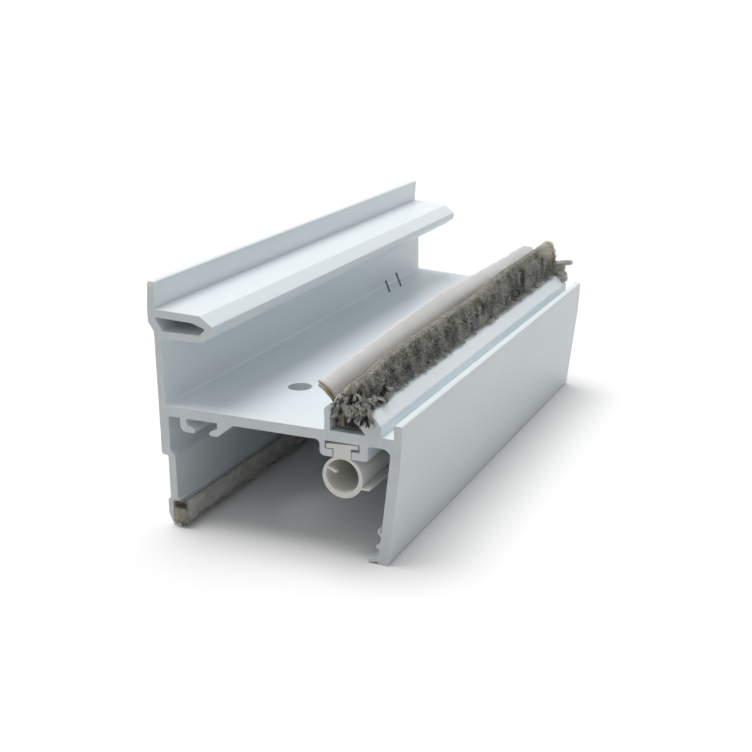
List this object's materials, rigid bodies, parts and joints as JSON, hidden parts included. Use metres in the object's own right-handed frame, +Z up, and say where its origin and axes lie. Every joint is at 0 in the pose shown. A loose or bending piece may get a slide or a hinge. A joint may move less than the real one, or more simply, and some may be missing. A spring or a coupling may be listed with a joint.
{
  "type": "door weatherstrip profile",
  "caption": "White extruded door-edge profile, open below like a channel, with a finned pile seal on top, a hollow bulb gasket inside and a small pile in its foot.",
  "frame": {"origin": "middle of the bounding box, on the floor that the two legs stand on", "axes": "+Y along the extrusion away from the near sawn end, +Z up, +X across towards the pile and bulb side"},
  "size_m": [0.0512, 0.1254, 0.0484],
  "materials": {
    "rigid_pvc": "satin",
    "pile_backing": "woven",
    "pile_fibre": "fuzzy",
    "film": "pale film",
    "soft_pvc": "smooth",
    "foot_backing": "woven",
    "foot_fibre": "fuzzy"
  },
  "bodies": {
    "root": {"door_profile": "rigid_pvc", "pile_backing": "pile_backing", "pile_fibres": "pile_fibre", "pile_fibres_left": "pile_fibre", "pile_film": "film", "bulb_gasket": "soft_pvc", "foot_backing": "foot_backing", "foot_fibres": "foot_fibre"}
  },
  "joints": []
}
